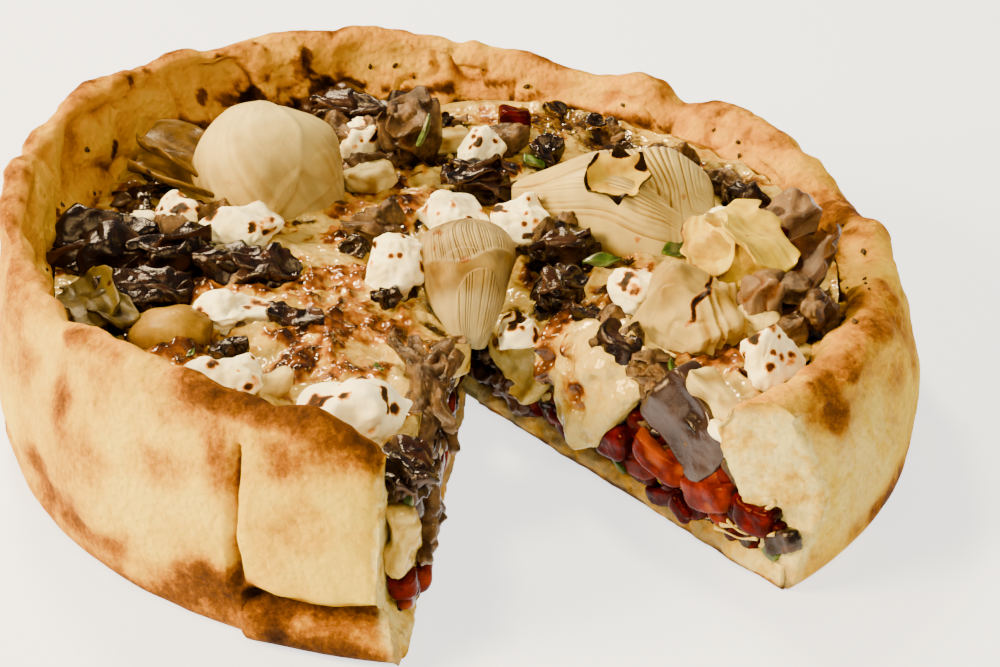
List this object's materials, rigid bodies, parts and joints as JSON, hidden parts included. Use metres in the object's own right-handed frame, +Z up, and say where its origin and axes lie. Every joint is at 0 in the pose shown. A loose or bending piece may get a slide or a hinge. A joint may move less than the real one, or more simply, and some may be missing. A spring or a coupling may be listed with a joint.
{
  "type": "deep dish pizza",
  "caption": "Tall-crusted deep dish vegetable pizza with one slice taken out, showing layers of pepper, aubergine and melted cheese.",
  "frame": {"origin": "under the middle of the pizza, on the surface that it stands on", "axes": "+Z up out of the filling; the missing slice faces -Y; +X to the right when looking into the gap along +Y"},
  "size_m": [0.2606, 0.2634, 0.0715],
  "materials": {
    "crust_dough": "baked dough, matt and floury, cream with golden and brown patches",
    "pepper_filling": "wet chopped pepper and tomato",
    "aubergine_filling": "moist grilled aubergine",
    "melted_mozzarella": "oily melted cheese with red-brown blisters",
    "artichoke_heart": "moist, pale, faintly striped",
    "artichoke_leaf": "thin moist leaf with scorched edges",
    "feta_cheese": "chalky white crumble with scorched spots",
    "aubergine_skin": "dark wrinkled oily skin",
    "aubergine_flesh": "brown moist flesh",
    "red_pepper": "wet roasted skin",
    "orange_pepper": "wet roasted flesh",
    "herb_leaf": "wilted green leaf"
  },
  "bodies": {
    "root": {"crust": "crust_dough", "pepper_filling": "pepper_filling", "aubergine_filling": "aubergine_filling", "melted_cheese": "melted_mozzarella", "mozzarella_cut_left": "melted_mozzarella", "artichoke_heart_back": "artichoke_heart", "artichoke_fan_right": "artichoke_heart", "artichoke_wedge_middle": "artichoke_heart", "artichoke_heart_right": "artichoke_heart", "artichoke_heart_left": "artichoke_heart", "artichoke_leaf_back_upper": "artichoke_leaf", "artichoke_leaf_back_lower": "artichoke_leaf", "artichoke_tip_charred": "artichoke_leaf", "artichoke_leafy_right": "artichoke_leaf", "artichoke_leaf_by_wall": "artichoke_leaf", "artichoke_leaf_left": "artichoke_leaf", "feta_1": "feta_cheese", "feta_2": "feta_cheese", "feta_3": "feta_cheese", "feta_4": "feta_cheese", "feta_5": "feta_cheese", "feta_6": "feta_cheese", "feta_7": "feta_cheese", "feta_8": "feta_cheese", "feta_9": "feta_cheese", "feta_10": "feta_cheese", "feta_11": "feta_cheese", "feta_12": "feta_cheese", "feta_13": "feta_cheese", "feta_14": "feta_cheese", "feta_15": "feta_cheese", "aubergine_left": "aubergine_skin", "aubergine_strip_a": "aubergine_skin", "aubergine_strip_b": "aubergine_skin", "aubergine_back_wall": "aubergine_skin", "aubergine_middle_a": "aubergine_skin", "aubergine_middle_b": "aubergine_skin", "aubergine_middle_c": "aubergine_skin", "aubergine_left_rim": "aubergine_skin", "aubergine_cut_slab": "aubergine_skin", "aubergine_cut_point": "aubergine_skin", "aubergine_cut_left_dark": "aubergine_skin", "aubergine_back": "aubergine_flesh", "aubergine_brown": "aubergine_flesh", "aubergine_right_wall": "aubergine_flesh", "aubergine_right_lump": "aubergine_flesh", "aubergine_cut_chunk_a": "aubergine_flesh", "aubergine_cut_chunk_b": "aubergine_flesh", "aubergine_cut_left_upper": "aubergine_flesh", "aubergine_cut_left_lower": "aubergine_flesh", "pepper_back": "red_pepper", "pepper_cut_red_a": "red_pepper", "pepper_cut_red_b": "red_pepper", "pepper_cut_left_red": "red_pepper", "pepper_cut_orange_a": "orange_pepper", "pepper_cut_orange_b": "orange_pepper", "pepper_cut_left_orange": "orange_pepper", "herb_leaf_middle": "herb_leaf", "herb_leaf_right": "herb_leaf", "herb_leaf_back": "herb_leaf"}
  },
  "joints": []
}
